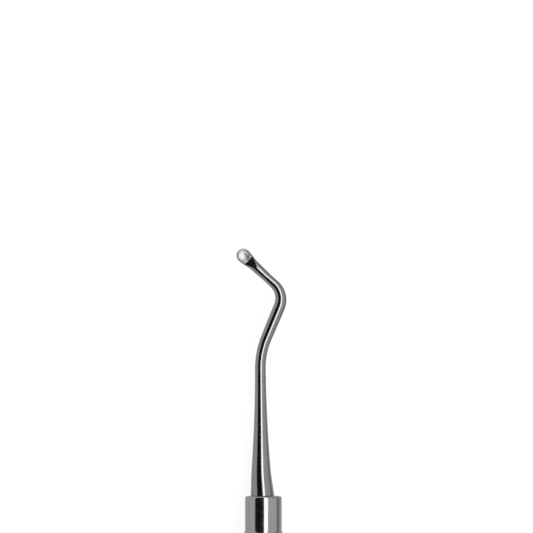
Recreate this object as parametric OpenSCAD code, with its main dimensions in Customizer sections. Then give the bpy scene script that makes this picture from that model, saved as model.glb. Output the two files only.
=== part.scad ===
// Double-ended dental spoon excavator.
// A hollow turned handle carries a ferrule at each end, and a curved steel tip is pressed into each.
// The tool lies on its grip with its long axis along Y and both cups facing up.
// The origin is on the surface, below the middle of the grip.

/* [Handle] */
// Length of the handle between its two collar faces
handle_len = 94; // [80:0.5:110]
// Outer diameter of the grip
grip_d = 9.5; // [8.5:0.1:12]
// Wall of the grip tube
tube_wall = 0.75; // [0.5:0.05:1.2]

/* [Rings and knurled bands] */
// Plain land between the end of the tube and its first ring groove
end_land = 1.6; // [0.8:0.1:4]
// Length of each knurled band
band_len = 24; // [12:0.5:28]
// Width of a ring groove at the surface
ring_w = 0.8; // [0.4:0.05:1.2]
// Depth of a ring groove
ring_depth = 0.2; // [0.1:0.02:0.3]

/* [Ferrules] */
// Diameter of the collar that holds the tip
collar_d = 6; // [5.8:0.1:7.5]
// Length of the collar, from its face to the shoulder
collar_len = 5.45; // [4:0.05:8]
// Radius of the rounding round the collar face
end_round = 0.4; // [0.2:0.05:0.8]
// Radius of the fillet between collar and shoulder
fillet_r = 1; // [0.5:0.1:2.5]
// Slope of the shoulder between collar and grip, measured from the axis
shoulder_slope = 45; // [30:1:60]
// Length of the spigot inside the tube
spigot_len = 8; // [6:0.5:12]
// Chamfer at the inner end of the spigot
spigot_chamfer = 0.5; // [0.2:0.1:1]

/* [Tang] */
// Diameter of the tang inside the collar
tang_d = 3; // [2.2:0.1:3.4]
// Length of the tang
tang_len = 10; // [7:0.5:11]
// Room left behind the tang in its socket
socket_room = 0.4; // [0.1:0.1:0.8]
// Radial clearance of the pressed seats
seat_gap = 0.01; // [0.005:0.005:0.03]

/* [Shank thickness] */
// Diameter of the shank where it stands on the collar
root_d = 3.88; // [3.5:0.02:4]
// Diameter at the waist, just before the first bend
waist_d = 1.75; // [1.4:0.05:2]
// Distance of the waist from the root, along the shank
waist_at = 22.7; // [18:0.1:25]
// Diameter just before the second bend
fore_d = 1.93; // [1.6:0.01:2.2]
// Distance of that thicker place from the root
fore_at = 31; // [28:0.5:33]
// Smallest diameter of the neck, just past the second bend
neck_d = 1.5; // [1.2:0.05:1.7]
// Distance of that thinner place from the root
neck_at = 36.9; // [35:0.1:38]
// Diameter where the neck begins to swell into the spoon
swell_d = 1.72; // [1.5:0.02:2]
// Length of that swell, up to the middle of the spoon
swell_len = 2.1; // [1.5:0.1:3]
// How steeply the thickness runs into the root
taper_power = 2.05; // [1.4:0.05:2.6]
// How late the neck swells into the spoon
swell_power = 1.1; // [0.8:0.05:1.8]

/* [Shank bends] */
// Sideways set of the root from the handle's axis
root_shift = 0.15; // [0:0.01:0.2]
// Length of the root
root_leg = 3.7; // [3:0.1:6]
// Lean of the root towards the hook
root_lean = 3.5; // [0:0.1:5]
// Length of the long shank
shank_leg = 19.7; // [18:0.1:22]
// Lean of the long shank towards the hook
shank_lean = 0.4; // [0:0.1:1]
// Length of the foreshank
fore_leg = 10.35; // [9.5:0.05:12]
// Lean of the foreshank away from the hook
fore_lean = 22.7; // [15:0.1:25]
// Length of the neck
neck_leg = 9.2; // [8:0.05:10]
// Lean of the neck, back towards the hook
neck_lean = 47.2; // [40:0.1:55]
// Centreline radius of the curve out of the root
root_bend_r = 30; // [20:1:60]
// Centreline radius of the first bend
first_bend_r = 13; // [5:0.5:16]
// Centreline radius of the second bend
second_bend_r = 3.3; // [2:0.1:4]

/* [Spoon] */
// Diameter of the round spoon
spoon_d = 2.28; // [2:0.02:2.5]
// Height of the ground face above the neck's axis
face_h = 0.72; // [0.62:0.02:0.78]
// Width of the rim round the hollow
rim_w = 0.05; // [0.04:0.01:0.15]
// Depth of the hollow below the face
bowl_depth = 0.36; // [0.25:0.01:0.5]
// How far the hollow is stretched along the neck
bowl_stretch = 0.55; // [0.4:0.01:0.6]
// Distance from the spoon's centre to the end of the face
face_end = 1; // [0.9:0.05:1.1]
// Distance from the spoon's centre to the foot of the run-out
runout_at = 1.25; // [1.2:0.05:1.4]
// Height of the run-out's foot above the neck's axis
runout_h = 0.52; // [0.46:0.01:0.58]
// Slope of the run-out up to the top of the neck
runout_slope = 10.5; // [8:0.5:16]

/* [Hidden] */

round_fn = 96;
ring_sides = 20;
ring_step = 0.6;
ball_steps = 9;
fillet_steps = 6;
end_steps = 4;
pole_angle = 86;
cut_over = 1;

grip_r = grip_d / 2;
tube_bore_r = grip_r - tube_wall;
collar_r = collar_d / 2;
fillet_out = fillet_r * (1 - cos(shoulder_slope));
fillet_down = fillet_r * sin(shoulder_slope);
shoulder_len = fillet_down + (grip_r - collar_r - fillet_out) / tan(shoulder_slope);
tube_len = handle_len - 2 * (collar_len + shoulder_len);
spigot_r = tube_bore_r - seat_gap;
socket_r = tang_d / 2 + seat_gap;
socket_depth = tang_len + socket_room;

// A ring groove is an arc of this radius, ring_w wide and ring_depth deep
ring_r = (pow(ring_w / 2, 2) + pow(ring_depth, 2)) / (2 * ring_depth);
first_ring = tube_len / 2 - end_land - ring_w / 2;
second_ring = first_ring - band_len - ring_w;

spoon_r = spoon_d / 2;
face_r = sqrt(pow(spoon_r, 2) - pow(face_h, 2));
bowl_edge_r = face_r - rim_w;
bowl_ball_r = (pow(bowl_edge_r, 2) + pow(bowl_depth, 2)) / (2 * bowl_depth);

// The centreline is straight legs joined by round bends. Leans towards the hook are positive.
leg = [root_leg, shank_leg, fore_leg, neck_leg];
lean = [root_lean, shank_lean, -fore_lean, neck_lean];
bend_r = [root_bend_r, first_bend_r, second_bend_r];
last_leg = len(leg) - 1;

function along(a) = [-sin(a), cos(a)];
function hookward(a) = [-cos(a), -sin(a)];
function turn(i) = lean[i + 1] - lean[i];
function setback(i) = i < 0 || i >= last_leg ? 0 : bend_r[i] * tan(abs(turn(i)) / 2);
function straight(i) = leg[i] - setback(i - 1) - setback(i);
function bend_len(i) = bend_r[i] * abs(turn(i)) * PI / 180;

// Place and lean of the centreline at distance s from the root
function centreline(s, i = 0, from = [-root_shift, 0]) =
    i == last_leg || s <= straight(i)
    ? [from + s * along(lean[i]), lean[i]]
    : let (rest = s - straight(i), start = from + straight(i) * along(lean[i]))
      rest <= bend_len(i)
      ? [round_bend(start, i, turn(i) * rest / bend_len(i)), lean[i] + turn(i) * rest / bend_len(i)]
      : centreline(rest - bend_len(i), i + 1, round_bend(start, i, turn(i)));

// The point that lies an angle a past the start of bend i
function round_bend(start, i, a) =
    let (r = sign(turn(i)) * bend_r[i])
    start + r * hookward(lean[i]) - r * hookward(lean[i] + a);

spoon_at = straight(0) + bend_len(0) + straight(1) + bend_len(1) + straight(2) + bend_len(2) + straight(3);
spoon_place = centreline(spoon_at)[0];
swell_at = spoon_at - swell_len;

function eased(t) = t * t * (3 - 2 * t);
function between(a, b, t) = a + (b - a) * t;

// Radius of the shank at distance s from the root, up to the middle of the spoon
function shank_r(s) =
    s < waist_at ? between(waist_d, root_d, pow(1 - s / waist_at, taper_power)) / 2
    : s < fore_at ? between(waist_d, fore_d, eased((s - waist_at) / (fore_at - waist_at))) / 2
    : s < neck_at ? between(fore_d, neck_d, eased((s - fore_at) / (neck_at - fore_at))) / 2
    : s < swell_at ? between(neck_d, swell_d, (s - neck_at) / (swell_at - neck_at)) / 2
    : between(swell_d, spoon_d, pow(sin(90 * (s - swell_at) / swell_len), swell_power)) / 2;

shank_rings = ceil(spoon_at / ring_step);
shank_stations = [for (k = [0:shank_rings]) let (s = spoon_at * k / shank_rings) [s, shank_r(s)]];
ball_stations = [for (k = [1:ball_steps]) let (a = pole_angle * k / ball_steps)
    [spoon_at + spoon_r * sin(a), spoon_r * cos(a)]];
stations = concat(shank_stations, ball_stations);

// One ring of points round the centreline. The root's own ring lies flat on the collar face.
function ring(station) =
    let (place = centreline(station[0]), a = station[0] == 0 ? 0 : place[1], side = hookward(a))
    [for (j = [0:ring_sides - 1]) let (b = 360 * j / ring_sides, out = station[1] * cos(b))
        [place[0][0] + out * side[0], place[0][1] + out * side[1], station[1] * sin(b)]];

module swept_shank() {
    n = ring_sides;
    last = len(stations) - 1;
    points = [for (station = stations) each ring(station)];
    sides = [for (k = [0:last - 1], j = [0:n - 1])
        let (a = k * n + j, b = k * n + (j + 1) % n)
        each [[a, a + n, b + n], [a, b + n, b]]];
    root_cap = [for (j = [0:n - 1]) j];
    pole_cap = [for (j = [n - 1:-1:0]) last * n + j];
    polyhedron(points, concat([root_cap], sides, [pole_cap]));
}

// What grinding takes off: all above the spoon's face, and the run-out from behind the hollow
// up to the top of the neck
module ground_away() {
    top = spoon_r + cut_over;
    runout_len = (top - runout_h) / tan(runout_slope);
    outline = [[-top, face_h], [face_end, face_h], [runout_at, runout_h],
        [runout_at + runout_len, top], [-top, top]];
    translate([spoon_place[0], spoon_place[1], 0])
        rotate([0, 0, neck_lean - 90])
            rotate([90, 0, 0])
                linear_extrude(height = 2 * top, center = true)
                    mirror([1, 0]) polygon(outline);
}

// The hollow is a ball's, drawn out a little along the neck
module bowl() {
    translate([spoon_place[0], spoon_place[1], face_h - bowl_depth + bowl_ball_r])
        rotate([90, 0, neck_lean]) {
            sphere(r = bowl_ball_r, $fn = round_fn);
            cylinder(h = bowl_stretch, r = bowl_ball_r, $fn = round_fn);
            translate([0, 0, bowl_stretch]) sphere(r = bowl_ball_r, $fn = round_fn);
        }
}

// A tip stands on the origin along +Y, with its cup facing +Z and its hook towards -X
module spoon_tip() {
    difference() {
        union() {
            swept_shank();
            rotate([90, 0, 0]) cylinder(h = tang_len, r = tang_d / 2, $fn = round_fn);
        }
        ground_away();
        bowl();
    }
}

// A ferrule is turned about Z, with its collar face at height zero
module ferrule() {
    shoulder_at = -collar_len - shoulder_len;
    spigot_end = shoulder_at - spigot_len;
    rotate_extrude($fn = round_fn)
        polygon([
            [socket_r, 0],
            for (k = [0:end_steps]) let (a = 90 * k / end_steps)
                [collar_r - end_round * (1 - sin(a)), -end_round * (1 - cos(a))],
            for (k = [0:fillet_steps]) let (a = shoulder_slope * k / fillet_steps)
                [collar_r + fillet_r * (1 - cos(a)), -collar_len - fillet_r * sin(a)],
            [grip_r, shoulder_at],
            [spigot_r, shoulder_at],
            [spigot_r, spigot_end + spigot_chamfer],
            [spigot_r - spigot_chamfer, spigot_end],
            [0, spigot_end],
            [0, -socket_depth],
            [socket_r, -socket_depth]
        ]);
}

module ring_groove(at) {
    translate([0, 0, at])
        rotate_extrude($fn = round_fn)
            translate([grip_r - ring_depth + ring_r, 0]) circle(r = ring_r, $fn = round_fn);
}

module tube() {
    difference() {
        cylinder(h = tube_len, r = grip_r, center = true, $fn = round_fn);
        cylinder(h = tube_len + cut_over, r = tube_bore_r, center = true, $fn = round_fn);
        for (at = [-first_ring, -second_ring, second_ring, first_ring]) ring_groove(at);
    }
}

// Lays what is turned about Z along the tool's axis
module on_axis() {
    translate([0, 0, grip_r]) rotate([-90, 0, 0]) children();
}

// The two ends of the tool are mirror images of each other
module front_end() {
    translate([0, handle_len / 2, grip_r]) children();
}

module rear_end() {
    mirror([0, 1, 0]) front_end() children();
}

module grip_tube() {
    color([0.72, 0.73, 0.75]) on_axis() tube();
}

module front_ferrule() {
    color([0.78, 0.79, 0.81]) front_end() rotate([-90, 0, 0]) ferrule();
}

module rear_ferrule() {
    color([0.78, 0.79, 0.81]) rear_end() rotate([-90, 0, 0]) ferrule();
}

module front_spoon_tip() {
    color([0.85, 0.86, 0.88]) front_end() spoon_tip();
}

module rear_spoon_tip() {
    color([0.85, 0.86, 0.88]) rear_end() spoon_tip();
}

grip_tube();
front_ferrule();
rear_ferrule();
front_spoon_tip();
rear_spoon_tip();
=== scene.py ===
import math
import bmesh
import bpy
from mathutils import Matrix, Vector


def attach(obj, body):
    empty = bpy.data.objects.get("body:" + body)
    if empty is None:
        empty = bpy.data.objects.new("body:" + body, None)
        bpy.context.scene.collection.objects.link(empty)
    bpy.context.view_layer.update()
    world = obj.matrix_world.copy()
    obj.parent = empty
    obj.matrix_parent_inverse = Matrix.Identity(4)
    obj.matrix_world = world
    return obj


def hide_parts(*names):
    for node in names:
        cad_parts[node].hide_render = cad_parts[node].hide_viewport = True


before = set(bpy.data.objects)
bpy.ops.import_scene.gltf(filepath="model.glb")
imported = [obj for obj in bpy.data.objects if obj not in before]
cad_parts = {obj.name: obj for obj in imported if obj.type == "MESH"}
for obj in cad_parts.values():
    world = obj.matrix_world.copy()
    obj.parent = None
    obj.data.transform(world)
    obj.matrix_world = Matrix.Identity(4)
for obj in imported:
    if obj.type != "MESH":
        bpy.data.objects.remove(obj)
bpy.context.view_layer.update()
mm = 0.001
handleHalf = 47.0  # collar face, from the middle of the tool
axisHeight = 4.75  # the tool lies on its grip
print("frame loaded:", sorted(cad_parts))


def addNode(tree, kind, **inputs):
    node = tree.nodes.new(kind)
    for name, value in inputs.items():
        node.inputs[name].default_value = value
    return node


def fineNoise(tree, coords, scale, detail=2.0):
    stretch = addNode(tree, "ShaderNodeMapping", Scale=scale)
    noise = addNode(tree, "ShaderNodeTexNoise", Scale=1.0, Detail=detail, Roughness=0.55)
    tree.links.new(coords, stretch.inputs["Vector"])
    tree.links.new(stretch.outputs["Vector"], noise.inputs["Vector"])
    return noise.outputs["Fac"]


def spread(tree, source, low, high):
    ramp = addNode(tree, "ShaderNodeMapRange")
    ramp.inputs["From Min"].default_value = 0.3
    ramp.inputs["From Max"].default_value = 0.7
    ramp.inputs["To Min"].default_value = low
    ramp.inputs["To Max"].default_value = high
    tree.links.new(source, ramp.inputs["Value"])
    return ramp.outputs["Result"]


def greyMix(tree, factor, dark, pale):
    mix = tree.nodes.new("ShaderNodeMix")
    mix.data_type = "RGBA"
    mix.inputs["A"].default_value = dark
    mix.inputs["B"].default_value = pale
    tree.links.new(factor, mix.inputs["Factor"])
    return mix.outputs["Result"]


# tone is the steel's own colour, lines the marks of the tool that cut or polished it.
# Where the attribute named by blend rises to 1, the finish turns rougher and the colour is scaled up or
# down as painted light: a painted sheen in the spoon's hollow, painted shade in the knurl's grooves.
def makeSteel(name, look):
    steel = bpy.data.materials.new(name)
    steel.use_nodes = True
    tree = steel.node_tree
    shader = tree.nodes["Principled BSDF"]
    shader.inputs["Metallic"].default_value = 1.0
    if look["follows"]:
        source = tree.nodes.new("ShaderNodeAttribute")
        source.attribute_name = look["follows"]
        coords = source.outputs["Vector"]
    else:
        coords = tree.nodes.new("ShaderNodeTexCoord").outputs["Object"]
    lines = fineNoise(tree, coords, look["lineScale"], 3.0)
    clouds = fineNoise(tree, coords, look["cloudScale"], 4.0)
    tone = look["tone"]
    dark = tuple(c * look["darker"] for c in tone) + (1.0,)
    colour = greyMix(tree, spread(tree, clouds, 0.0, 1.0), dark, tone + (1.0,))
    rough = spread(tree, clouds, *look["rough"])
    # painted light: the blend attribute scales the colour, brighter for a painted sheen, darker for
    # painted shade; only the roughness it adds is the finish
    if look.get("blend"):
        share = tree.nodes.new("ShaderNodeAttribute")
        share.attribute_name = look["blend"]
        blended = tree.nodes.new("ShaderNodeMix")
        blended.data_type = "RGBA"
        blended.inputs["B"].default_value = tuple(c * look["paintedLightTone"] for c in tone) + (1.0,)
        paintedLightShare = addNode(tree, "ShaderNodeMath")
        paintedLightShare.operation = "POWER"
        paintedLightShare.inputs[1].default_value = look["blendPower"]
        tree.links.new(share.outputs["Fac"], paintedLightShare.inputs[0])
        tree.links.new(colour, blended.inputs["A"])
        tree.links.new(paintedLightShare.outputs["Value"], blended.inputs["Factor"])
        colour = blended.outputs["Result"]
        rougher = addNode(tree, "ShaderNodeMath")
        rougher.operation = "MULTIPLY_ADD"
        rougher.inputs[1].default_value = look["blendRough"]
        tree.links.new(share.outputs["Fac"], rougher.inputs[0])
        tree.links.new(rough, rougher.inputs[2])
        rough = rougher.outputs["Value"]
    bump = addNode(tree, "ShaderNodeBump", Strength=look["bump"], Distance=look["bumpHeight"] * mm)
    tree.links.new(lines, bump.inputs["Height"])
    tree.links.new(colour, shader.inputs["Base Color"])
    tree.links.new(rough, shader.inputs["Roughness"])
    tree.links.new(bump.outputs["Normal"], shader.inputs["Normal"])
    return steel


turnedLook = {
    "tone": (0.50, 0.50, 0.505), "darker": 0.93, "rough": (0.13, 0.19), "follows": None,
    "lineScale": (250, 11000, 250), "cloudScale": (500, 900, 500),
    "bump": 0.12, "bumpHeight": 0.004,
}
drawnLook = {
    "tone": (0.40, 0.40, 0.405), "darker": 0.93, "rough": (0.12, 0.18), "follows": "drawn",
    "lineScale": (6500, 350, 6500), "cloudScale": (900, 300, 900),
    "bump": 0.05, "bumpHeight": 0.003,
    # the hollow's colour is raised to near white as a painted sheen and painted darker towards its back;
    # its added roughness is the satin finish
    "blend": "sheenAndSatin", "paintedLightTone": 2.45, "blendPower": 6.0, "blendRough": 0.40,
}
gripLook = {
    "tone": (0.50, 0.50, 0.505), "darker": 0.92, "rough": (0.18, 0.26), "follows": None,
    "lineScale": (250, 9000, 250), "cloudScale": (400, 400, 400),
    "bump": 0.15, "bumpHeight": 0.004,
    # the knurl's grooves are painted darker, painted shade in the recesses, and made rougher
    "blend": "groove", "paintedLightTone": 0.45, "blendPower": 1.0, "blendRough": 0.22,
}
turnedSteel = makeSteel("turnedSteel", turnedLook)
drawnSteel = makeSteel("drawnSteel", drawnLook)
gripSteel = makeSteel("gripSteel", gripLook)
print("steels made")


def finishPiece(bm, name, node, steels, sharpAngle=None):
    mesh = bpy.data.meshes.new(name)
    bm.to_mesh(mesh)
    for steel in steels:
        mesh.materials.append(steel)
    mesh.polygons.foreach_set("use_smooth", [True] * len(mesh.polygons))
    if sharpAngle:
        mesh.set_sharp_from_angle(angle=math.radians(sharpAngle))
    piece = bpy.data.objects.new(name, mesh)
    bpy.context.scene.collection.objects.link(piece)
    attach(piece, "root")
    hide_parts(node)
    print(name, len(mesh.polygons), "faces")
    return piece


# from the builder's millimetres at the collar face to its place on the front of the tool
def placeFront(bm):
    bmesh.ops.scale(bm, vec=(mm, mm, mm), verts=bm.verts)
    bmesh.ops.translate(bm, vec=(0, handleHalf * mm, axisHeight * mm), verts=bm.verts)


def turnToRear(bm):
    bmesh.ops.scale(bm, vec=(1, -1, 1), verts=bm.verts)
    bmesh.ops.recalc_face_normals(bm, faces=bm.faces)


# spins a closed or open outline of (radius, along) points about the tool's axis
def spinOutline(bm, outline, steps):
    verts = [bm.verts.new((r, y, 0)) for r, y in outline]
    edges = [bm.edges.new(pair) for pair in zip(verts, verts[1:])]
    edges.append(bm.edges.new((verts[-1], verts[0])))
    bmesh.ops.spin(bm, geom=verts + edges, cent=(0, 0, 0), axis=(0, 1, 0), angle=math.tau,
                   steps=steps, use_merge=True, use_duplicate=False)
    bmesh.ops.remove_doubles(bm, verts=bm.verts, dist=1e-4)
    bmesh.ops.recalc_face_normals(bm, faces=bm.faces)


def softenEdges(bm, width, angle, wanted):
    sharp = [e for e in bm.edges if len(e.link_faces) == 2
             and e.calc_face_angle() > math.radians(angle) and wanted(e)]
    bmesh.ops.bevel(bm, geom=sharp, offset=width, offset_type="OFFSET", segments=3, profile=0.5,
                    affect="EDGES", material=-1, clamp_overlap=True)


tipShape = {
    "leg": [3.7, 19.7, 10.35, 9.2],
    "lean": [3.5, 0.4, -22.7, 47.2],  # degrees towards the hook
    "bendRadius": [30.0, 13.0, 3.3],
    "rootShift": 0.15,
    "root": 3.88, "taperPower": 2.05,  # diameters from the collar to the spoon
    "waist": 1.75, "waistAt": 22.7,
    "fore": 1.93, "foreAt": 31.0,
    "neck": 1.5, "neckAt": 36.9,
    "swell": 1.72, "swellLength": 2.1, "swellPower": 1.1,
    "spoon": 2.28, "face": 0.72, "rim": 0.05,
    "bowlDepth": 0.36, "bowlStretch": 0.55,
    "faceEnd": 1.14, "runoutAt": 1.27, "runout": 0.52, "runoutSlope": 10.5,
    # share of painted sheen and satin in the hollow: full at the front, falling towards the back, which
    # paints the back of the hollow darker
    "sheenAndSatinFrom": 0.1, "sheenAndSatinTo": 0.7, "sheenAndSatinLeft": 0.8, "sheenAndSatinUp": 0.2,
    "polishFrom": 1.15, "polishAt": 1.45,
    "faceEdge": 0.012, "bowlEdge": 0.03,  # rounding of the ground edges
    "bowlBlend": 0.2, "blendTo": 1.14, "blendSteep": 3.0,
    "tang": 3.0, "tangLength": 10.0, "tangChamfer": 0.3,
    "seam": 0.1,  # rounding of the root where it meets the collar
    "straighten": 0.6,
    "shankStep": 0.25, "headStep": 0.022, "headReach": 2.9, "poleStep": 1.2,
}
lean = [math.radians(a) for a in tipShape["lean"]]
turns = [b - a for a, b in zip(lean, lean[1:])]
setbacks = [r * math.tan(abs(t) / 2) for r, t in zip(tipShape["bendRadius"], turns)]
before = [0.0] + setbacks
after = setbacks + [0.0]
straights = [leg - a - b for leg, a, b in zip(tipShape["leg"], before, after)]
bendLengths = [r * abs(t) for r, t in zip(tipShape["bendRadius"], turns)]
spoonAt = sum(straights) + sum(bendLengths)
spoonRadius = tipShape["spoon"] / 2
bowlEdgeRadius = math.sqrt(spoonRadius ** 2 - tipShape["face"] ** 2) - tipShape["rim"]
bowlBall = (bowlEdgeRadius ** 2 + tipShape["bowlDepth"] ** 2) / (2 * tipShape["bowlDepth"])


def along(a):
    return Vector((-math.sin(a), math.cos(a), 0))


def hookward(a):
    return Vector((-math.cos(a), -math.sin(a), 0))


# place and lean of the shank's middle line, s from the collar
def centreline(s):
    place = Vector((-tipShape["rootShift"], 0, 0))
    for i, length in enumerate(straights):
        if i == len(turns) or s <= length:
            return place + s * along(lean[i]), lean[i]
        place += length * along(lean[i])
        s -= length
        angle = lean[i] + turns[i] * min(1.0, s / bendLengths[i])
        radius = math.copysign(tipShape["bendRadius"][i], turns[i])
        place += radius * (hookward(lean[i]) - hookward(angle))
        if s <= bendLengths[i]:
            return place, angle
        s -= bendLengths[i]


def eased(t):
    return t * t * (3 - 2 * t)


def between(a, b, t):
    return a + (b - a) * t


def shankRadius(s):
    shape = tipShape
    swellAt = spoonAt - shape["swellLength"]
    if s < shape["waistAt"]:
        wide = between(shape["waist"], shape["root"], (1 - s / shape["waistAt"]) ** shape["taperPower"])
    elif s < shape["foreAt"]:
        t = (s - shape["waistAt"]) / (shape["foreAt"] - shape["waistAt"])
        wide = between(shape["waist"], shape["fore"], eased(t))
    elif s < shape["neckAt"]:
        t = (s - shape["foreAt"]) / (shape["neckAt"] - shape["foreAt"])
        wide = between(shape["fore"], shape["neck"], eased(t))
    elif s < swellAt:
        wide = between(shape["neck"], shape["swell"], (s - shape["neckAt"]) / (swellAt - shape["neckAt"]))
    elif s < spoonAt:
        t = math.sin(math.pi / 2 * (s - swellAt) / shape["swellLength"])
        wide = between(shape["swell"], shape["spoon"], t ** shape["swellPower"])
    else:
        wide = 2 * math.sqrt(max(spoonRadius ** 2 - (s - spoonAt) ** 2, 0))
    return wide / 2


# the lower of two heights, with the edge between them rounded
def lower(a, b, rounding):
    near = max(rounding - abs(a - b), 0) / rounding
    return min(a, b) - near * near * rounding / 4


# share of the way from start to end, held between 0 and 1 and eased at both
def easedShare(back, start, end):
    return eased(min(max((back - start) / (end - start), 0), 1))


# the flat run-out rises to the top of the neck
def runoutHeight(back):
    slope = math.tan(math.radians(tipShape["runoutSlope"]))
    return tipShape["runout"] + (back - tipShape["runoutAt"]) * slope


# the ground face steps down to the run-out behind the bowl
def groundHeight(back):
    share = easedShare(back, tipShape["faceEnd"], tipShape["runoutAt"])
    return between(tipShape["face"], runoutHeight(back), share)


# height of the upper surface, across from the middle line and back from the spoon's middle
def topHeight(across, back, radius):
    height = math.sqrt(max(radius * radius - across * across, 0))
    height = lower(height, groundHeight(back), tipShape["faceEdge"])
    past = back - min(max(back, 0), tipShape["bowlStretch"])
    inBall = bowlBall ** 2 - across ** 2 - past ** 2
    if inBall > 0:
        hollow = tipShape["face"] - tipShape["bowlDepth"] + bowlBall - math.sqrt(inBall)
        # behind, the hollow's floor passes into the run-out without an edge
        floor = runoutHeight(back) + tipShape["blendSteep"] * max(tipShape["blendTo"] - back, 0) ** 2
        rimmed = lower(height, hollow, tipShape["bowlEdge"])
        height = min(height, rimmed, lower(floor, hollow, tipShape["bowlBlend"]))
    return height


# the hollow is satin and carries a painted sheen, painted darker towards its back, and its finish and
# sheen pass into the polish of the run-out
def sheenAndSatinShare(across, back, up):
    shape = tipShape
    past = back - min(max(back, 0), shape["bowlStretch"])
    if up < shape["sheenAndSatinUp"] or math.hypot(across, past) > bowlEdgeRadius:
        return 0.0
    sheenAndSatin = between(1, shape["sheenAndSatinLeft"], easedShare(back, shape["sheenAndSatinFrom"], shape["sheenAndSatinTo"]))
    return sheenAndSatin * (1 - easedShare(back, shape["polishFrom"], shape["polishAt"]))


# half a ring from the top's middle round to the bottom's, with points gathered at the ground edges
def halfRing(s, radius):
    back = spoonAt - s
    ground = groundHeight(back)
    chord = math.sqrt(max(radius * radius - ground * ground, 0))
    past = back - min(max(back, 0), tipShape["bowlStretch"])
    bowl = math.sqrt(max(bowlEdgeRadius ** 2 - past ** 2, 0))
    chord = max(chord, 0.2 * radius)
    near = min(0.03, 0.04 * radius)
    bowl = min(max(bowl, 0.45 * chord), chord - 3 * near)
    acrosses = [(bowl - near) * k / 9 for k in range(9)]
    acrosses += [bowl + near * k for k in (-1, -0.5, 0, 0.5, 1)]
    acrosses += [between(bowl + near, chord - near, k / 3) for k in (1, 2)]
    acrosses += [chord - near * k for k in (1, 0.5, 0.2, 0)]
    ring = [(across, topHeight(across, back, radius)) for across in acrosses]
    start = math.acos(chord / radius)
    steps = [near * k / radius for k in (0.4, 1, 2, 4)]
    last = start - steps[-1] + math.pi / 2
    angles = [start - step for step in steps]
    angles += [start - steps[-1] - last * k / 18 for k in range(1, 19)]
    for angle in angles:
        across = max(radius * math.cos(angle), 0)
        up = topHeight(across, back, radius) if angle > 0 else radius * math.sin(angle)
        ring.append((across, up))
    ring[-1] = (0.0, -radius)
    return ring


def fullRing(s, radius):
    half = halfRing(s, radius)
    return half + [(-across, up) for across, up in reversed(half[1:-1])]


def buildTip():
    bm = bmesh.new()
    drawn = bm.verts.layers.float_vector.new("drawn")
    sheenAndSatin = bm.verts.layers.float.new("sheenAndSatin")
    rootRadius = tipShape["root"] / 2
    seam = tipShape["seam"]
    pattern = fullRing(0, rootRadius)
    count = len(pattern)
    ring = bmesh.ops.create_circle(bm, cap_ends=True, radius=1, segments=count)["verts"]

    def shapeRing(s, scaleTo, y=None):
        # y holds the rings of the tang and the root flat across the tool's axis
        if y is None:
            place, angle = centreline(s)
            angle *= min(1.0, s / tipShape["straighten"])
            points = fullRing(s, scaleTo)
        else:
            place, angle = Vector((-tipShape["rootShift"] if y > -seam else 0, y, 0)), 0.0
            points = [(a * scaleTo / rootRadius, u * scaleTo / rootRadius) for a, u in pattern]
        side = hookward(angle)
        for vert, (across, up) in zip(ring, points):
            vert.co = place + across * side + Vector((0, 0, up))
            vert[drawn] = Vector((across, s, up)) * mm
            # share of the hollow's painted sheen and satin finish at this point
            vert[sheenAndSatin] = sheenAndSatinShare(across, spoonAt - s, up)

    def growRing():
        nonlocal ring
        edges = [bm.edges.get((ring[k - 1], ring[k])) for k in range(count)]
        grown = bmesh.ops.extrude_edge_only(bm, edges=edges)["geom"]
        new = {v for v in grown if isinstance(v, bmesh.types.BMVert)}
        ring = [next(e.other_vert(v) for e in v.link_edges if e.other_vert(v) in new) for v in ring]

    tang, chamfer = tipShape["tang"] / 2, tipShape["tangChamfer"]
    flatRings = [(-tipShape["tangLength"], tang - chamfer), (chamfer - tipShape["tangLength"], tang),
                 (-2 * seam, tang), (0, tang + 0.05), (0, rootRadius - seam),
                 (0.3 * seam, rootRadius - 0.4 * seam), (0.8 * seam, rootRadius - 0.08 * seam)]
    for k, (y, radius) in enumerate(flatRings):
        if k:
            growRing()
        shapeRing(y, radius, y)
    headAt = spoonAt - tipShape["headReach"]
    shankCount = math.ceil(headAt / tipShape["shankStep"])
    headCount = math.ceil(tipShape["headReach"] / tipShape["headStep"])
    poleCount = int(88 / tipShape["poleStep"])
    stations = [1.5 * seam] + [headAt * k / shankCount for k in range(1, shankCount)]
    stations += [headAt + tipShape["headReach"] * k / headCount for k in range(headCount + 1)]
    stations += [spoonAt + spoonRadius * math.sin(math.radians(tipShape["poleStep"] * k))
                 for k in range(1, poleCount + 1)]
    for s in stations:
        growRing()
        shapeRing(s, shankRadius(s))
    place, angle = centreline(spoonAt + spoonRadius)
    bmesh.ops.pointmerge(bm, verts=ring, merge_co=place)
    bmesh.ops.recalc_face_normals(bm, faces=bm.faces)
    placeFront(bm)
    return bm


tipMesh = buildTip()
finishPiece(tipMesh, "frontTip", "front_spoon_tip", [drawnSteel])
turnToRear(tipMesh)
finishPiece(tipMesh, "rearTip", "rear_spoon_tip", [drawnSteel])
tipMesh.free()
print("tips made")


ferruleShape = {
    "socket": 1.51, "socketDepth": 10.4,
    "collar": 3.0, "collarLength": 5.45,
    "endRound": 0.4, "roundSteps": 10,
    "fillet": 1.0, "filletSteps": 12, "slope": 45.0,
    "grip": 4.75,
    "spigot": 3.99, "spigotLength": 8.0, "spigotChamfer": 0.5,
    "edge": 0.06, "steps": 144,
}


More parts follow.
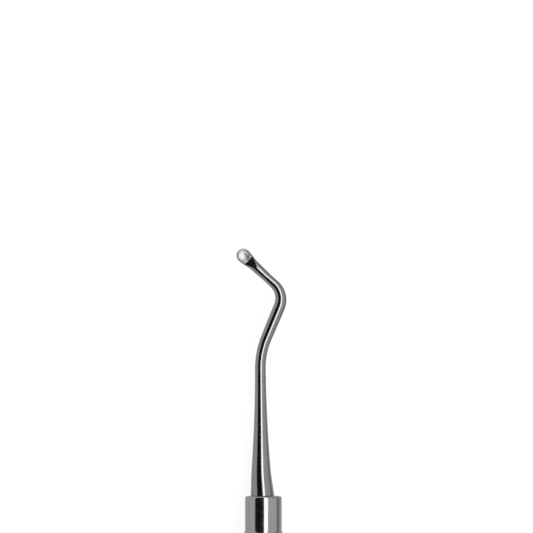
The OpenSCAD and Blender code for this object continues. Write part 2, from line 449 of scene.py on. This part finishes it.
def buildFerrule():
    shape = ferruleShape
    slope = math.radians(shape["slope"])
    filletOut = shape["fillet"] * (1 - math.cos(slope))
    filletDown = shape["fillet"] * math.sin(slope)
    drop = filletDown + (shape["grip"] - shape["collar"] - filletOut) / math.tan(slope)
    shoulderAt = -shape["collarLength"] - drop
    spigotEnd = shoulderAt - shape["spigotLength"]
    outline = [(shape["socket"], 0)]
    for k in range(shape["roundSteps"] + 1):
        a = math.pi / 2 * k / shape["roundSteps"]
        outline.append((shape["collar"] - shape["endRound"] * (1 - math.sin(a)),
                        -shape["endRound"] * (1 - math.cos(a))))
    for k in range(shape["filletSteps"] + 1):
        a = slope * k / shape["filletSteps"]
        outline.append((shape["collar"] + shape["fillet"] * (1 - math.cos(a)),
                        -shape["collarLength"] - shape["fillet"] * math.sin(a)))
    outline += [(shape["grip"], shoulderAt), (shape["spigot"], shoulderAt),
                (shape["spigot"], spigotEnd + shape["spigotChamfer"]),
                (shape["spigot"] - shape["spigotChamfer"], spigotEnd), (0, spigotEnd),
                (0, -shape["socketDepth"]), (shape["socket"], -shape["socketDepth"])]
    bm = bmesh.new()
    spinOutline(bm, outline, shape["steps"])

    def outside(edge):
        spot = (edge.verts[0].co + edge.verts[1].co) / 2
        return math.hypot(spot.x, spot.z) > 1.9 and spot.y > shoulderAt - 0.01

    softenEdges(bm, shape["edge"], 20, outside)
    placeFront(bm)
    return bm


ferruleMesh = buildFerrule()
finishPiece(ferruleMesh, "frontFerrule", "front_ferrule", [turnedSteel], 35)
turnToRear(ferruleMesh)
finishPiece(ferruleMesh, "rearFerrule", "rear_ferrule", [turnedSteel], 35)
ferruleMesh.free()
print("ferrules made")


gripShape = {
    "outside": 4.75, "bore": 4.0, "half": 39.386,
    "endLand": 1.6, "band": 24.0, "ringWidth": 0.8, "ringDepth": 0.2, "ringSteps": 10,
    "columns": 72, "rows": 34, "knurlDepth": 0.2, "crest": 0.3,
    "edge": 0.05,
}


def buildGrip():
    shape = gripShape
    outer, deep = shape["outside"], shape["outside"] - shape["knurlDepth"]
    halfRing = shape["ringWidth"] / 2
    ringArc = (halfRing ** 2 + shape["ringDepth"] ** 2) / (2 * shape["ringDepth"])
    firstRing = shape["half"] - shape["endLand"] - halfRing
    secondRing = firstRing - shape["band"] - shape["ringWidth"]
    rowStep = shape["band"] / shape["rows"]

    def ringPoints(at):
        points = []
        for k in range(shape["ringSteps"] + 1):
            y = -halfRing + shape["ringWidth"] * k / shape["ringSteps"]
            depth = math.sqrt(ringArc ** 2 - y * y) - (ringArc - shape["ringDepth"])
            points.append((outer - depth, at + y))
        return points

    upper = ringPoints(secondRing)
    bandStart = secondRing + halfRing
    upper += [(outer, bandStart + rowStep * k) for k in range(1, shape["rows"])]
    upper += ringPoints(firstRing) + [(outer, shape["half"]), (shape["bore"], shape["half"])]
    outline = [(r, -y) for r, y in reversed(upper)] + [(outer, 0)] + upper
    bm = bmesh.new()
    groove = bm.verts.layers.float.new("groove")
    spinOutline(bm, outline, shape["columns"])

    lowVerts, highVerts = [], []
    for vert in bm.verts:
        radius = math.hypot(vert.co.x, vert.co.z)
        row = (abs(vert.co.y) - bandStart) / rowStep
        if radius < shape["bore"] + 0.1 or row < -0.01 or row > shape["rows"] + 0.01:
            continue
        column = round(math.atan2(vert.co.z, vert.co.x) / (math.tau / shape["columns"]))
        row = round(row)
        ends = row in (0, shape["rows"])
        if ends:
            wanted = deep + 0.05
        elif (column + row) % 2:
            highVerts.append(vert)
            wanted = (outer - shape["crest"] * deep) / (1 - shape["crest"])
        else:
            lowVerts.append(vert)
            wanted = deep
        if ends and (column + row) % 2 == 0:
            lowVerts.append(vert)
        vert.co.x *= wanted / radius
        vert.co.z *= wanted / radius
        # marks the grooves for painted shade and more roughness
        vert[groove] = 1.0 if wanted < outer else 0.0
    bmesh.ops.connect_verts(bm, verts=lowVerts)
    bmesh.ops.bevel(bm, geom=highVerts, offset=100 * shape["crest"], offset_type="PERCENT", segments=1,
                    profile=0.5, affect="VERTICES", material=-1, clamp_overlap=False)
    for vert in bm.verts:
        radius = math.hypot(vert.co.x, vert.co.z)
        if radius > outer - 0.06 and bandStart < abs(vert.co.y) < bandStart + shape["band"]:
            vert.co.x *= outer / radius
            vert.co.z *= outer / radius
            vert[groove] = 0.0

    def tubeEnd(edge):
        return all(abs(abs(v.co.y) - shape["half"]) < 1e-3 for v in edge.verts)

    softenEdges(bm, shape["edge"], 30, tubeEnd)
    bmesh.ops.recalc_face_normals(bm, faces=bm.faces)
    bmesh.ops.scale(bm, vec=(mm, mm, mm), verts=bm.verts)
    bmesh.ops.translate(bm, vec=(0, 0, axisHeight * mm), verts=bm.verts)
    return bm


gripMesh = buildGrip()
finishPiece(gripMesh, "grip", "grip_tube", [gripSteel], 24)
gripMesh.free()
print("grip made")


stageLook = {
    "cardHeight": 0.45, "cardMiddle": 0.07, "cardUp": 1.7, "cardDown": 1.2,
    "blackFrom": -1.4, "lampFrom": 0.09, "lampTo": 0.5, "lampLevel": 2.6,
    "tent": 0.6, "floorTone": 0.8, "floorInMetal": 0.55,
    "floorLift": 0.91, "floorShare": 0.2,
    "onFloor": 0.0001, "floorSize": 4.0,
    "stripNear": 0.0125, "stripFar": 0.25, "stripFrom": -0.3, "stripTo": 0.4, "stripTone": 0.28,
    "paleLeft": -0.03, "paleRight": 0.002, "paleFrom": 0.0925, "paleTo": 0.3, "paleTone": 1.25,
    "screenAway": 0.3, "screenFrom": 30.0, "screenTo": 115.0, "screenHigh": 0.045, "screenTone": 0.1,
}


def makeCard(name, low, high, height, flip):
    bm = bmesh.new()
    bmesh.ops.create_grid(bm, x_segments=1, y_segments=1, size=0.5)
    bmesh.ops.scale(bm, vec=(high[0] - low[0], high[1] - low[1], 1), verts=bm.verts)
    bmesh.ops.translate(bm, vec=((low[0] + high[0]) / 2, (low[1] + high[1]) / 2, height), verts=bm.verts)
    if flip:
        bmesh.ops.reverse_faces(bm, faces=bm.faces)
    mesh = bpy.data.meshes.new(name)
    bm.to_mesh(mesh)
    bm.free()
    card = bpy.data.objects.new(name, mesh)
    bpy.context.scene.collection.objects.link(card)
    return card


# a low upright screen, bent round the far side of the tip
def makeScreen(name):
    look = stageLook
    bm = bmesh.new()
    start, end = math.radians(look["screenFrom"]), math.radians(look["screenTo"])
    spot = Vector((look["screenAway"] * math.cos(start), look["screenAway"] * math.sin(start), 0))
    verts = [bm.verts.new(spot), bm.verts.new(spot + Vector((0, 0, look["screenHigh"])))]
    edge = bm.edges.new(verts)
    bmesh.ops.spin(bm, geom=verts + [edge], cent=(0, 0, 0), axis=(0, 0, 1), angle=end - start,
                   steps=24, use_duplicate=False)
    bmesh.ops.translate(bm, vec=(0, look["cardMiddle"], 0), verts=bm.verts)
    mesh = bpy.data.meshes.new(name)
    bm.to_mesh(mesh)
    bm.free()
    screen = bpy.data.objects.new(name, mesh)
    bpy.context.scene.collection.objects.link(screen)
    return screen


def plainMaterial(name, colour, level=None):
    material = bpy.data.materials.new(name)
    material.use_nodes = True
    tree = material.node_tree
    tree.nodes.remove(tree.nodes["Principled BSDF"])
    shader = tree.nodes.new("ShaderNodeBsdfDiffuse" if level is None else "ShaderNodeEmission")
    shader.inputs["Color"].default_value = (colour, colour, colour, 1)
    if level is not None:
        shader.inputs["Strength"].default_value = level
    tree.links.new(shader.outputs[0], tree.nodes["Material Output"].inputs["Surface"])
    return material


def buildCards():
    look = stageLook
    height, middle = look["cardHeight"], look["cardMiddle"]
    near, far = middle - look["cardDown"] * height, middle + look["cardUp"] * height
    edge = look["lampFrom"] * height
    black = makeCard("blackCard", (look["blackFrom"] * height, near), (edge, far), height, True)
    black.data.materials.append(plainMaterial("blackPaper", 0.02))
    lamp = makeCard("softBox", (edge, near), (look["lampTo"] * height, far), height, True)
    lamp.data.materials.append(plainMaterial("softBoxLight", 1.0, look["lampLevel"]))
    strip = makeCard("greyStrip", (look["stripNear"], look["stripFrom"]),
                     (look["stripFar"], look["stripTo"]), look["onFloor"], False)
    strip.data.materials.append(plainMaterial("greyPaper", 1.0, look["stripTone"]))
    pale = makeCard("paleStrip", (look["paleLeft"], look["paleFrom"]),
                    (look["paleRight"], look["paleTo"]), look["onFloor"], False)
    pale.data.materials.append(plainMaterial("palePaper", 1.0, look["paleTone"]))
    screen = makeScreen("darkScreen")
    screen.data.materials.append(plainMaterial("darkPaper", 1.0, look["screenTone"]))
    for card in (black, lamp, strip, pale, screen):
        card.visible_camera = False
    for card in (strip, pale, screen):
        card.visible_diffuse = False
        card.visible_shadow = False


# the camera sees a white floor with the tool's shadow, and the metal mirrors a greyer one
def buildFloor():
    look = stageLook
    size = look["floorSize"]
    floor = makeCard("floor", (-size, -size), (size, size), -0.1 * look["onFloor"], False)
    paper = bpy.data.materials.new("floorPaper")
    paper.use_nodes = True
    tree = paper.node_tree
    tree.nodes.remove(tree.nodes["Principled BSDF"])
    tone = look["floorTone"]
    lit = addNode(tree, "ShaderNodeBsdfDiffuse", Color=(tone, tone, tone, 1))
    share = look["floorShare"]
    faint = addNode(tree, "ShaderNodeBsdfDiffuse", Color=(share, share, share, 1))
    lift = addNode(tree, "ShaderNodeEmission", Strength=look["floorLift"])
    seen = tree.nodes.new("ShaderNodeAddShader")
    inMetal = addNode(tree, "ShaderNodeEmission", Strength=look["floorInMetal"])
    path = tree.nodes.new("ShaderNodeLightPath")
    direct = tree.nodes.new("ShaderNodeMath")
    direct.operation = "MAXIMUM"
    toEye = tree.nodes.new("ShaderNodeMixShader")
    toMetal = tree.nodes.new("ShaderNodeMixShader")
    link = tree.links.new
    link(path.outputs["Is Camera Ray"], direct.inputs[0])
    link(path.outputs["Is Transmission Ray"], direct.inputs[1])
    link(faint.outputs[0], seen.inputs[0])
    link(lift.outputs[0], seen.inputs[1])
    link(direct.outputs[0], toEye.inputs["Fac"])
    link(lit.outputs[0], toEye.inputs[1])
    link(seen.outputs[0], toEye.inputs[2])
    link(path.outputs["Is Glossy Ray"], toMetal.inputs["Fac"])
    link(toEye.outputs[0], toMetal.inputs[1])
    link(inMetal.outputs[0], toMetal.inputs[2])
    link(toMetal.outputs[0], tree.nodes["Material Output"].inputs["Surface"])
    floor.data.materials.append(paper)


def buildTent():
    world = bpy.data.worlds.new("tent")
    bpy.context.scene.world = world
    world.use_nodes = True
    tree = world.node_tree
    tent = tree.nodes["Background"]
    tent.inputs["Color"].default_value = (1, 1, 1, 1)
    tent.inputs["Strength"].default_value = stageLook["tent"]
    white = addNode(tree, "ShaderNodeBackground", Color=(1, 1, 1, 1), Strength=1.0)
    path = tree.nodes.new("ShaderNodeLightPath")
    direct = tree.nodes.new("ShaderNodeMath")
    direct.operation = "MAXIMUM"
    mix = tree.nodes.new("ShaderNodeMixShader")
    link = tree.links.new
    link(path.outputs["Is Camera Ray"], direct.inputs[0])
    link(path.outputs["Is Transmission Ray"], direct.inputs[1])
    link(direct.outputs[0], mix.inputs["Fac"])
    link(tent.outputs[0], mix.inputs[1])
    link(white.outputs[0], mix.inputs[2])
    link(mix.outputs[0], tree.nodes["World Output"].inputs["Surface"])


buildCards()
buildFloor()
buildTent()
bpy.context.scene.view_settings.view_transform = "Standard"
print("stage made")

cameraView = {"x": 0.0005, "y": 0.0844, "distance": 1.2, "frameWidth": 0.08688, "sensor": 36.0}
camera = bpy.data.objects.new("camera", bpy.data.cameras.new("camera"))
bpy.context.scene.collection.objects.link(camera)
camera.location = (cameraView["x"], cameraView["y"], cameraView["distance"] + axisHeight * mm)
camera.data.sensor_width = cameraView["sensor"]
camera.data.lens = cameraView["sensor"] * cameraView["distance"] / cameraView["frameWidth"]
camera.data.clip_start = 0.01
camera.data.clip_end = 20
bpy.context.scene.camera = camera
print("camera placed")
